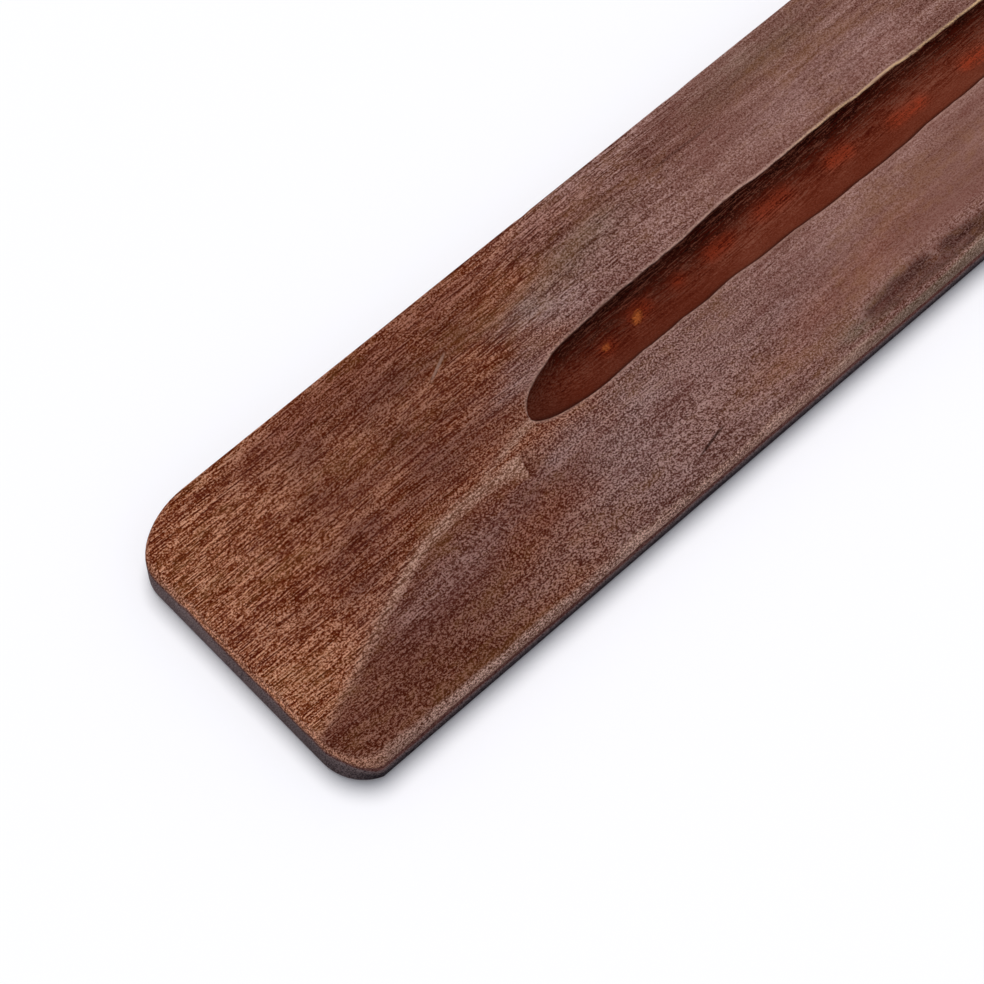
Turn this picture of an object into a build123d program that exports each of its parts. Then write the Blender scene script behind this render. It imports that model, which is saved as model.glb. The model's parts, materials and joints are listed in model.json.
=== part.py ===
from build123d import *
import math
import os

# Incense stick holder: a long wooden ash board with a curled nose that holds the stick.
# Millimetres, +Z up, +X from the tail towards the nose, +Y to the left.
# The origin is on the underside, at the middle of the whole length and width.

# Board
overall_length = 254.0
board_width = 38.0
board_thickness = 5.0
tail_corner_left = 7.5
tail_corner_right = 5.5
edge_round = 1.0

# Ash groove, cut by a round-rimmed wheel that drops in near the tail and lifts out before the curl
groove_from_tail = 42.0
groove_to_curl = 20.0
groove_width = 7.8
groove_depth = 2.8
groove_runout = 11.5
groove_offset = 0.6

# Curled nose
curl_radius = 26.0
curl_angle = 60.0
nose_length = 14.0
nose_corner = 6.0

# Scarf joint between board and nose, with two pegs
scarf_length = 16.0
scarf_to_curl = 2.0
dowel_diameter = 3.0
dowel_spacing = 22.0
glue_clearance = 0.05

# Stick socket: a flanged tube square through the nose, in line with the groove
stick_bore = 2.5
ferrule_wall = 0.6
ferrule_lip = 1.2
lip_thickness = 0.7
lip_round = 0.3
socket_from_tip = 7.0
ferrule_clearance = 0.05

# Places along the length
curl_rise = math.radians(curl_angle)
under_radius = curl_radius + board_thickness
tail_x = -overall_length / 2
tip_x = overall_length / 2
tip_z = under_radius * (1 - math.cos(curl_rise)) + nose_length * math.sin(curl_rise)
curl_foot_x = tip_x - under_radius * math.sin(curl_rise) - nose_length * math.cos(curl_rise)
scarf_low_x = curl_foot_x - scarf_to_curl
scarf_high_x = scarf_low_x - scarf_length
groove_start_x = tail_x + groove_from_tail
groove_end_x = curl_foot_x - groove_to_curl

# The groove's section is an arc of a circle, and its ends follow the rim of the wheel,
# which is lifted until it is clear of the top face
groove_radius = ((groove_width / 2) ** 2 + groove_depth**2) / (2 * groove_depth)
wheel_radius = (groove_runout**2 + groove_depth**2) / (2 * groove_depth)
rim_path_radius = wheel_radius - groove_radius
groove_axis_z = board_thickness - groove_depth + groove_radius
wheel_lift = math.degrees(math.acos(1 - groove_depth / rim_path_radius))

# The scarf slopes down towards the nose: the board keeps what is below it, the nose what is above
scarf_plane = Plane(
    origin=(scarf_low_x, 0, 0),
    x_dir=(0, 1, 0),
    z_dir=(board_thickness, 0, scarf_length),
)
dowel_x = scarf_low_x - scarf_length / 2
dowel_places = [(dowel_x, dowel_spacing / 2), (dowel_x, -dowel_spacing / 2)]

# The socket plane lies on the inner face of the straight tip and faces back over the board
nose_normal = (-math.sin(curl_rise), 0, math.cos(curl_rise))
socket_plane = Plane(
    origin=(
        tip_x - socket_from_tip * math.cos(curl_rise) - board_thickness * math.sin(curl_rise),
        groove_offset,
        tip_z - socket_from_tip * math.sin(curl_rise) + board_thickness * math.cos(curl_rise),
    ),
    x_dir=(0, 1, 0),
    z_dir=nose_normal,
)
ferrule_radius = stick_bore / 2 + ferrule_wall
lip_radius = ferrule_radius + ferrule_lip

standing = (Align.CENTER, Align.CENTER, Align.MIN)
os.makedirs("parts", exist_ok=True)


# The space that the wheel's rim sweeps out along the ash groove
with BuildPart() as groove_cut:
    with BuildLine(Plane.XZ.offset(-groove_offset)) as wheel_path:
        floor_run = Line(
            (groove_start_x + groove_runout, groove_axis_z),
            (groove_end_x - groove_runout, groove_axis_z),
        )
        JernArc(floor_run @ 1, (1, 0), rim_path_radius, wheel_lift)
        JernArc(floor_run @ 0, (-1, 0), rim_path_radius, -wheel_lift)
    wheel_wire = wheel_path.wires()[0]
    with BuildSketch(Plane(origin=wheel_wire @ 0, z_dir=wheel_wire % 0)) as wheel_rim:
        Circle(groove_radius)
    sweep(path=wheel_wire)


# Flat board with its rounded tail, the groove and the lower half of the scarf
with BuildPart() as ash_board:
    with BuildSketch(Plane.XY) as board_plan:
        with Locations(((tail_x + scarf_low_x) / 2, 0)):
            Rectangle(scarf_low_x - tail_x, board_width)
        fillet(board_plan.vertices().group_by(Axis.Y)[-1].sort_by(Axis.X)[0], tail_corner_left)
        fillet(board_plan.vertices().group_by(Axis.Y)[0].sort_by(Axis.X)[0], tail_corner_right)
    extrude(amount=board_thickness)
    fillet(ash_board.faces().sort_by(Axis.Z)[-1].edges().sort_by(Axis.X)[:-1], edge_round)
    add(groove_cut.part, mode=Mode.SUBTRACT)
    with Locations(*dowel_places):
        Hole(dowel_diameter / 2 + glue_clearance)
    split(bisect_by=scarf_plane, keep=Keep.BOTTOM)
ash_board.part.label = "ash_board"
export_step(ash_board.part, "parts/ash_board.step")


# Bent nose: the upper half of the scarf, the curl and a straight tip with the stick hole
with BuildPart() as curled_nose:
    with BuildSketch(Plane.XZ) as nose_profile:
        with BuildLine() as nose_outline:
            under_flat = Line((scarf_high_x, 0), (curl_foot_x, 0))
            under_curl = JernArc(under_flat @ 1, (1, 0), under_radius, curl_angle)
            under_tip = PolarLine(under_curl @ 1, nose_length, curl_angle)
            tip_end = PolarLine(under_tip @ 1, board_thickness, curl_angle + 90)
            over_tip = PolarLine(tip_end @ 1, nose_length, curl_angle + 180)
            over_curl = JernArc(over_tip @ 1, over_tip % 1, curl_radius, -curl_angle)
            over_flat = Line(over_curl @ 1, (scarf_high_x, board_thickness))
            Line(over_flat @ 1, under_flat @ 0)
        make_face()
    extrude(amount=board_width / 2, both=True)
    through_tip = Axis((0, 0, 0), nose_normal)
    fillet(curled_nose.edges().filter_by(through_tip), nose_corner)
    upper_faces = [
        curled_nose.faces().filter_by(Axis.Z).sort_by(Axis.Z)[-1],
        curled_nose.faces().filter_by(GeomType.CYLINDER).sort_by(SortBy.RADIUS)[-2],
        curled_nose.faces().filter_by(through_tip).sort_by(Axis.Z)[-1],
    ]
    across = curled_nose.edges().filter_by(Axis.Y).sort_by(Axis.Z)
    side_rims = ShapeList(edge for face in upper_faces for edge in face.edges()) - across
    fillet(side_rims + across[-1:], edge_round)
    # A longer groove would run on over the scarf
    add(groove_cut.part, mode=Mode.SUBTRACT)
    with Locations(*dowel_places):
        Hole(dowel_diameter / 2 + glue_clearance)
    with Locations(socket_plane):
        Hole(ferrule_radius + ferrule_clearance)
    split(bisect_by=scarf_plane, keep=Keep.TOP)
curled_nose.part.label = "curled_nose"
export_step(curled_nose.part, "parts/curled_nose.step")


# Pegs through the scarf, flush above and below
with BuildPart() as scarf_dowels:
    with Locations(*dowel_places):
        Cylinder(dowel_diameter / 2, board_thickness, align=standing)
scarf_dowels.part.label = "scarf_dowels"
export_step(scarf_dowels.part, "parts/scarf_dowels.step")


# Flanged tube that lines the stick hole: its lip sits on the inner face of the tip
with BuildPart() as stick_ferrule:
    with BuildSketch(socket_plane.offset(-board_thickness)) as tube_ring:
        Circle(ferrule_radius)
        Circle(stick_bore / 2, mode=Mode.SUBTRACT)
    extrude(amount=board_thickness)
    with BuildSketch(socket_plane) as lip_ring:
        Circle(lip_radius)
        Circle(stick_bore / 2, mode=Mode.SUBTRACT)
    extrude(amount=lip_thickness)
    fillet(stick_ferrule.faces().sort_by(Axis((0, 0, 0), nose_normal))[-1].edges(), lip_round)
stick_ferrule.part.label = "stick_ferrule"
export_step(stick_ferrule.part, "parts/stick_ferrule.step")
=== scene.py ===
import json
import math
from functools import partial
from types import SimpleNamespace

import bpy
import numpy as np
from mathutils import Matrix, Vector


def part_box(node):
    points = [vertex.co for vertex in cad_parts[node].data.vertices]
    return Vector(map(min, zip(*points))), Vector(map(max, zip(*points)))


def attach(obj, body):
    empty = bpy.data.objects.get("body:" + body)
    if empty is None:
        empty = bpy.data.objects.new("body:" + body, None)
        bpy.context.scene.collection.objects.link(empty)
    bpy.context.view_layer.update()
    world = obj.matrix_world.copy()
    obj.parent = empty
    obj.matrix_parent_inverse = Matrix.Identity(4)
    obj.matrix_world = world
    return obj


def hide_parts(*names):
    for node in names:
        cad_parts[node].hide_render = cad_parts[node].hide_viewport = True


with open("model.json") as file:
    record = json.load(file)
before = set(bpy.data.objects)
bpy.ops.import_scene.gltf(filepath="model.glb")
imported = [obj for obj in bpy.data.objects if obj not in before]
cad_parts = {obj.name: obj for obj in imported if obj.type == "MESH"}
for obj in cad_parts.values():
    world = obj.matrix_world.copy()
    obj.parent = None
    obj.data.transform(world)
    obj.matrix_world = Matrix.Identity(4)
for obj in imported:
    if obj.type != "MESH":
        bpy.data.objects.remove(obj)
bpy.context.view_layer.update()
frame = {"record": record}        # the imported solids, metres

mm = 0.001
scene = bpy.context.scene
boardLow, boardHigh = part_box("ash_board")
noseLow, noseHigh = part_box("curled_nose")
pegsLow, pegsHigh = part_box("scarf_dowels")
tailX = boardLow.x
halfWidth = boardHigh.y
thick = boardHigh.z
scarfTopX = noseLow.x        # the scarf slopes from here on the top face
scarfFootX = boardHigh.x     # to here on the underside
mounts = {mount["name"]: mount for mount in frame["record"]["mounts"]}


def linear(colour):     # sRGB hex to the linear values that shaders take
    parts = [int(colour[i:i + 2], 16) / 255 for i in (1, 3, 5)]
    return tuple(p / 12.92 if p <= 0.04045 else ((p + 0.055) / 1.055) ** 2.4 for p in parts) + (1.0,)


# kind is a type of node, with its operation or interpolation after a dot;
# plugs are numbers, hex colours, sockets or nodes, by socket index or name
def addNode(tree, kind, plugs=(), stops=None, curve=None, **settings):
    kind, *mode = kind.split(".")
    node = tree.nodes.new(kind if "Node" in kind else "ShaderNode" + kind)
    if mode:
        setattr(node, "interpolation_type" if kind == "MapRange" else "operation", mode[0])
    for name, value in settings.items():
        setattr(node, name, value)
    for key, value in plugs.items() if isinstance(plugs, dict) else enumerate(plugs):
        if isinstance(value, str) and value.startswith("#"):
            value = linear(value)
        if isinstance(value, bpy.types.Node):
            value = value.outputs[0]
        if isinstance(value, bpy.types.NodeSocket):
            tree.links.new(value, node.inputs[key])
        elif value is not None:
            node.inputs[key].default_value = value
    if stops:      # colour ramp
        ramp = node.color_ramp.elements
        while len(ramp) < len(stops):
            ramp.new(0.5)
        for mark, (place, colour) in zip(ramp, stops):
            mark.position = place
            mark.color = linear(colour)
    if curve:      # float curve
        points = node.mapping.curves[0].points
        while len(points) < len(curve):
            points.new(0.5, 0.5)
        for point, place in zip(points, curve):
            point.location = place
        node.mapping.update()
    return node


def newMaterial(name):     # with what adds nodes to it
    material = bpy.data.materials.new(name)
    material.use_nodes = True
    material.node_tree.nodes.clear()
    return material, partial(addNode, material.node_tree)


def throughPoints(points, at):     # smooth curve through a few points
    x, y = np.array(points, float).T
    slope = np.gradient(y, x)
    i = np.clip(np.searchsorted(x, at) - 1, 0, len(x) - 2)
    span = x[i + 1] - x[i]
    t = np.clip((at - x[i]) / span, 0, 1)
    start = (1 + 2 * t) * (1 - t) ** 2 * y[i] + t * (1 - t) ** 2 * span * slope[i]
    return start + t * t * (3 - 2 * t) * y[i + 1] + t * t * (t - 1) * span * slope[i + 1]


def wobble(at, step, seed):     # smooth unevenness between -1 and 1, one bump every step along the length
    places = np.arange(-10.0, 300.0, step)
    heights = np.random.default_rng(seed).uniform(-1, 1, len(places))
    return throughPoints(np.stack([places, heights], -1), at)


def smoothStep(low, high, at):
    t = np.clip((at - low) / (high - low), 0, 1)
    return t * t * (3 - 2 * t)


# Camera

shot = {
    "azimuth": -43.11,
    "elevation": 63.22,
    "distance": 357.416 * mm,
    "lens": 120.25,
    "aim": (34.643 * mm, -2.351 * mm),     # on the table, from the tail
}
turn, rise = math.radians(shot["azimuth"]), math.radians(shot["elevation"])
back = Vector((math.sin(turn) * math.cos(rise), -math.cos(turn) * math.cos(rise), math.sin(rise)))
camera = bpy.data.objects.new("camera", bpy.data.cameras.new("camera"))
scene.collection.objects.link(camera)
camera.data.lens = shot["lens"]
camera.data.clip_start = 10 * mm
camera.location = Vector((tailX + shot["aim"][0], shot["aim"][1], 0)) + back * shot["distance"]
camera.rotation_mode = "QUATERNION"
camera.rotation_quaternion = (-back).to_track_quat("-Z", "Y")
scene.camera = camera
print("camera set")


# Materials

# noise layers: cell along and across the fibres in mm, octaves, roughness, share of the tone
# (pores and grit are finer on real mango, and are drawn coarse enough to show)
grain = {
    "grit": (0.24, 0.18, 2.0, 0.75, 3.25),
    "lines": (2.8, 0.15, 1.0, 0.5, 1.62),
    "streak": (12.0, 0.5, 1.0, 0.5, 0.42),
    "band": (55.0, 2.6, 2.0, 0.5, 0.3),
    "cloud": (9.0, 5.0, 2.0, 0.5, 0.35),
    "pores": (4.0, 0.2, 0.0, 0.5, 0.0),
    "hue": (14.0, 3.2, 2.0, 0.5, 0.0),
    "tint": (2.0, 1.0, 2.0, 0.6, 0.0),
}
rampPlaces = {4: (0.1, 0.36, 0.62, 0.9), 3: (0.1, 0.5, 0.9)}     # tones where a ramp has its colours
stain = {
    "warm": ("#561700", "#803c1e", "#a46240", "#ebad8a"),
    "umber": ("#400f00", "#592919", "#6f3f2f", "#996958"),
    "ruddy": ("#4b1500", "#68301b", "#834b35", "#b27762"),
    "grey": ("#4c251b", "#724a3f", "#926b60", "#c39d93"),
    "bloom": ("#5f3c34", "#805d55", "#a07d76", "#cba9a1"),
    "knot": ("#2d0d05", "#46261f", "#5f4039", "#7c5c54"),
    "olive": ("#4a3828", "#645242", "#7e6c5b", "#a08e7c"),
    "rubbed": ("#744936", "#946853", "#b48873", "#dab19d"),
    "dusky": ("#481b0f", "#5f3226", "#774a3e", "#a07367"),
    "worn": ("#805645", "#a17866", "#c29987", "#e8bfae"),
    "amber": ("#793a17", "#995837", "#ba7956", "#efac87"),
    "flank": ("#483a3d", "#7a6663", "#9a8583"),
    "groove": ("#491004", "#5e2312", "#703625", "#854d3b"),
    "flankTop": ("#451c17", "#5b2f29", "#6d3f38", "#8a5c54"),
    # painted shade for the flanks' foot
    "foot": ("#1c151a", "#282026", "#322a30", "#4a4144"),
    "edge": ("#220e07", "#341c13", "#422820", "#64463a"),
    "gold": "#84592f",
    "maroon": "#6a352e",
    "ember": "#9e3211",
    "spark": "#b9622f",
    # painted shade with soot on the groove's left wall, and painted shadow inside its right rim
    "sootAndShade": "#1c0200",
    "cream": "#dcb688",
    "lip": "#c09a8a",
    "scratch": {"dark": "#2a120a", "pale": "#a98a7a"},
}
# where the old tool mark runs, mm along and across
scar = [(0, -12.8), (5, -11.0), (10, -9.0), (12.7, -7.8), (16.2, -6.35), (19, -5.3), (21.7, -4.3),
        (24.4, -3.65), (28, -3.35), (32, -3.2), (36, -3.6), (45, -3.6)]
scarSpan = (0.0, 45.0, -15.0, 5.0)     # the float curve's own range
scarStrands = [(0.0, 0.6, 0.9), (-0.6, 0.4, 0.45), (0.7, 0.3, 0.35)]     # mm beside it, half width, strength
notch = {"top": (38.2, -2.8), "foot": (37.2, -6.0), "width": 3.6}     # a small cut where the tool mark ends
# colour, strength, then the ends in mm along and across
scratches = [("dark", 0.85, (52.0, -16.4), (57.0, -15.4)), ("pale", 0.6, (37.0, 10.0), (41.0, 12.0)),
             ("dark", 0.35, (72.0, 13.1), (84.0, 12.9))]

# Wood finish: a grain, and coats laid over it one by one; places and widths are mm on the straight plank

tailTurn = (0.6, 3.0)       # where the tail face turns into the long sides
rimBorder = (2.98, 3.08)    # the rim attribute is 3 at the groove's rim and more inside


def besideScar(add, along, across):     # how far left of the tool mark
    low, high, floorY, topY = scarSpan
    unit = add("MapRange", (along, low, high))
    points = [((x - low) / (high - low), (y - floorY) / (topY - floorY)) for x, y in scar]
    line = add("FloatCurve", {1: unit}, curve=points)
    lineY = add("MapRange", (line, 0.0, 1.0, floorY, topY))
    return add("Math.SUBTRACT", (across, lineY))


def fibreGrain(add, shift):     # noise layers along the fibres, the tone that they add up to and its colours
    place = add("Attribute", attribute_name="flat").outputs["Vector"]
    along, across, height = add("SeparateXYZ", (place,)).outputs
    moved = add("VectorMath.ADD", (place, shift))
    # fibres wander a little to both sides
    slow = add("Mapping", {"Vector": moved, "Scale": (1 / 45, 1 / 16, 1 / 16)})
    drift = add("TexNoise", {"Vector": slow, "Scale": 1.0, "Detail": 1.0})
    push = add("Math.MULTIPLY_ADD", (drift, 3.0, -1.5))
    swerve = add("CombineXYZ", {"Y": push})
    fibres = add("VectorMath.ADD", (moved, swerve))

    # the texture is strongest at the tail; long pores there and on the left, short specks on the right
    fine = add("MapRange", (along, 40.0, 78.0, 1.2, 0.62))
    leftward = add("Math.MULTIPLY_ADD", (along, -0.4, across))
    fewer = add("MapRange", (along, 55.0, 85.0, 0.35, 0.1))
    lined = add("MapRange.SMOOTHSTEP", (leftward, -22.0, -8.0, fewer, fine))
    sparse = add("Math.MULTIPLY", (fine, 0.95))
    pitted = add("MapRange", (along, 46.0, 80.0, 1.55, 0.55))
    specks = add("MapRange", (leftward, -22.0, -8.0, pitted, sparse))
    byKnot = add("MapRange", (across, -13.5, -16.0, 0.3, 0.9))
    specks = add("MapRange", (leftward, -50.0, -39.0, byKnot, specks))
    calm = add("MapRange", (leftward, -46.0, -36.0, 0.4, 1.0))
    # past the middle it comes back everywhere
    masks = {kind: add("MapRange", (along, 105.0, 140.0, mask, full))
             for kind, mask, full in (("grit", specks, 0.9), ("lines", lined, 0.7), ("streak", calm, 1.1))}
    layer = {}
    tone = 0.5
    for kind, (length, width, octaves, rough, share) in grain.items():
        cells = add("Mapping", {"Vector": fibres, "Scale": (1 / length, 1 / width, 1 / width)})
        noise = add("TexNoise", {"Vector": cells, "Scale": 1.0, "Detail": octaves, "Roughness": rough})
        layer[kind] = add("Math.SUBTRACT", (noise, 0.5))
        if kind in masks:
            share = add("Math.MULTIPLY", (masks[kind], share))
        tone = add("Math.MULTIPLY_ADD", (layer[kind], share, tone))
    pores = add("MapRange", (layer["pores"], -0.12, -0.24, 0.0, masks["lines"]))
    tone = add("Math.MULTIPLY_ADD", (pores, -0.35, tone))
    uneven = add("Math.MULTIPLY_ADD", (layer["cloud"], 1.5, tone))

    # the groove has its own tone: scraped smooth on the right wall, fibrous on the left
    fibrous = add("MapRange", (across, -1.5, 2.5, 0.2, 2.4))
    gritty = add("MapRange", (across, -1.5, 2.5, 0.8, 1.8))
    hollow = add("Math.MULTIPLY_ADD", (layer["lines"], fibrous, 0.5))
    hollow = add("Math.MULTIPLY_ADD", (layer["grit"], gritty, hollow))
    hollow = add("Math.MULTIPLY_ADD", (layer["cloud"], 0.5, hollow))
    ramps = {}
    for kind, colours in stain.items():
        if isinstance(colours, tuple):
            stops = list(zip(rampPlaces[len(colours)], colours))
            ramps[kind] = add("ValToRGB", (hollow if kind == "groove" else tone,), stops=stops)
    rim = add("Attribute", attribute_name="rim").outputs["Fac"]
    return SimpleNamespace(
        add=add, place=place, along=along, across=across, height=height, rim=rim,
        layer=layer, tone=tone, pores=pores, uneven=uneven, hollow=hollow, ramps=ramps,
        offScar=besideScar(add, along, across),
        inside=add("MapRange", (rim, *rimBorder)),
        outside=add("MapRange", (rim, *reversed(rimBorder))))


def stainCoats(wood):     # stain that took unevenly
    add, along, across, layer, ramps = wood.add, wood.along, wood.across, wood.layer, wood.ramps
    # it greys away from the tail, sooner on the right, and soaked in right of the tool mark
    lean = add("Math.MULTIPLY_ADD", (across, -0.55, along))
    patchy = add("Math.MULTIPLY_ADD", (layer["cloud"], 22.0, lean))
    greying = add("MapRange.SMOOTHSTEP", (patchy, 36.0, 55.0))
    nearTail = add("MapRange.SMOOTHSTEP", (along, 41.0, 20.0, 0.0, 0.9))
    soaked = add("MapRange.SMOOTHSTEP", (wood.offScar, 0.6, -0.8, 0.0, nearTail))
    coats = [(greying, ramps["grey"]), (soaked, ramps["umber"])]

    # listed marks from the mesh
    ragged = add("Math.MULTIPLY_ADD", (layer["cloud"], 2.5, 1.0))
    ragged = add("Math.MULTIPLY_ADD", (layer["lines"], 1.5, ragged))
    for kind in ("umber", "dusky", "grey", "ruddy", "bloom", "olive", "rubbed", "knot"):
        mark = add("Attribute", attribute_name=kind).outputs["Fac"]
        amount = add("Math.MULTIPLY", (mark, ragged), use_clamp=True)
        if kind == "knot":     # frayed edges
            amount = add("Math.MULTIPLY_ADD", (layer["grit"], 2.0, amount))
            amount = add("MapRange", (amount, 0.15, 0.62, 0.0, 1.0))
        coats.append((amount, ramps[kind]))
    blotch = add("Math.MULTIPLY_ADD", (layer["tint"], 0.8, layer["hue"]))
    for kind, way in (("gold", 1.0), ("maroon", -1.0)):
        patch = add("MapRange", (blotch, 0.02 * way, 0.25 * way, 0.0, 0.25))
        coats.append((patch, stain[kind]))
    return coats


def toolMarkCoats(wood):     # the tool mark, rubbed pale in a few strands, and the small cut at its end with a painted shadow beside it
    add, along, across, ramps = wood.add, wood.along, wood.across, wood.ramps
    faded = add("MapRange.SMOOTHSTEP", (along, 41.0, 36.0, 0.0, 1.0))
    fresh = add("MapRange", (along, 4.0, 21.0, 0.15, faded))
    coats = []
    for beside, halfStrand, strength in scarStrands:
        away = add("Math.SUBTRACT", (wood.offScar, beside))
        away = add("Math.ABSOLUTE", (away,))
        most = add("Math.MULTIPLY", (fresh, strength))
        stroke = add("MapRange.SMOOTHSTEP", (away, halfStrand, 0.3 * halfStrand, 0.0, most))
        coats.append((stroke, ramps["rubbed"]))
    (topX, topY), (footX, footY) = notch["top"], notch["foot"]
    edgeX = add("MapRange", (across, topY, footY, topX, footX), clamp=False)
    behind = add("Math.SUBTRACT", (edgeX, along))
    wide = add("MapRange", (across, topY, footY, notch["width"], 0.5))
    near = add("Math.MULTIPLY", (wide, 0.5))
    short = add("MapRange", (across, footY, footY + 0.6, 0.0, 0.9))
    short = add("MapRange", (across, topY + 0.3, topY - 0.3, 0.0, short))
    crisp = add("MapRange", (behind, 0.0, 0.15, 0.0, short))
    cut = add("MapRange", (behind, wide, near, 0.0, crisp))
    # painted shadow in umber right of the cut's edge
    cutShadow = add("MapRange", (behind, -2.5, 0.0, 0.0, short))
    cutShadow = add("MapRange", (behind, 0.15, 0.0, 0.0, cutShadow))
    return coats + [(cut, ramps["rubbed"]), (cutShadow, ramps["umber"])]


def scratchCoats(wood):     # fine scratches
    add = wood.add
    coats = []
    for kind, strength, start, stop in scratches:
        middle = (Vector(start) + Vector(stop)) / 2
        way = Vector(stop) - Vector(start)
        halfLength = way.length / 2
        way.normalize()
        local = add("VectorMath.SUBTRACT", (wood.place, (*middle, 0)))
        run = add("VectorMath.DOT_PRODUCT", (local, (*way, 0))).outputs["Value"]
        side = add("VectorMath.DOT_PRODUCT", (local, (-way.y, way.x, 0))).outputs["Value"]
        run = add("Math.ABSOLUTE", (run,))
        side = add("Math.MULTIPLY_ADD", (wood.layer["cloud"], 0.6, side))
        side = add("Math.ABSOLUTE", (side,))
        stroke = add("MapRange", (run, halfLength, 0.5 * halfLength, 0.0, strength))
        stroke = add("MapRange", (side, 0.22, 0.08, 0.0, stroke))
        coats.append((stroke, stain["scratch"][kind]))
    return coats


def edgeCoats(wood):     # flanks and outer rim
    add, along, across, ramps = wood.add, wood.along, wood.across, wood.ramps
    # red brown below the rim, then charcoal, which starts higher up on the tail face than on the sides, then
    # painted shade darkening the foot
    drop = add("Math.SUBTRACT", (thick / mm, wood.height))
    drop = add("Math.MULTIPLY_ADD", (wood.layer["cloud"], 0.9, drop))
    crest = add("MapRange", (along, *tailTurn, 0.5, 1.7))
    past = add("Math.SUBTRACT", (drop, crest))
    under = add("MapRange.SMOOTHSTEP", (past, 0.0, 0.4, 0.0, wood.outside))
    brink = add("MapRange", (along, *tailTurn, 0.7, 2.6))
    lowered = add("Math.SUBTRACT", (drop, brink))
    dark = add("MapRange.SMOOTHSTEP", (lowered, 0.0, 0.7, 0.0, under))
    # painted shade, near black towards the bottom: full on the long sides, weaker on the tail face and only
    # towards its right
    endwise = add("MapRange", (across, 4.0, -14.0, 0.0, 0.45))
    sideways = add("MapRange", (along, *tailTurn, endwise, 1.0))
    foot = add("MapRange", (lowered, 0.3, 1.6, 0.0, sideways))
    below = add("MapRange", (wood.height, 0.35, 0.1))

    # rim rubbed through to pale wood at the tail and right, less round the right corner, grimy on the left
    skin = add("Attribute", attribute_name="skin").outputs["Fac"]     # 1 on the top face
    folded = add("MapRange", (skin, 1.0, 0.3, 0.0, wood.outside))
    start = add("MapRange.SMOOTHSTEP", (drop, 0.1, 0.45, 0.0, folded))
    band = add("MapRange.SMOOTHSTEP", (past, 0.4, 0.0, 0.0, start))
    rubbed = add("MapRange", (wood.uneven, 0.15, 0.55, 0.35, band))
    rubbed = add("MapRange", (along, 75.0, 52.0, 0.7, rubbed))
    rubbed = add("MapRange", (across, 14.0, 8.0, 0.05, rubbed))
    blunt = add("MapRange", (along, 4.0, 14.0, 0.5, 1.0))
    blunt = add("MapRange", (across, -10.0, -14.0, 1.0, blunt))
    rubbed = add("Math.MULTIPLY", (rubbed, blunt))
    rubbed = add("Math.MINIMUM", (rubbed, band))
    mossy = add("MapRange", (along, 68.0, 82.0, 0.0, rubbed))
    mossy = add("MapRange", (along, 118.0, 100.0, 0.0, mossy))
    warmer = add("MapRange", (along, 5.0, 2.0, 0.0, rubbed))
    grimy = add("MapRange", (along, 105.0, 135.0, band, 0.0))
    grimy = add("MapRange", (across, 18.0, 18.8, 0.0, grimy))
    return [(under, ramps["flankTop"]), (dark, ramps["flank"]), (foot, ramps["foot"]),
            (below, ramps["umber"]), (rubbed, ramps["worn"]), (mossy, ramps["olive"]),
            (warmer, ramps["amber"]), (grimy, ramps["edge"])]


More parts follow.
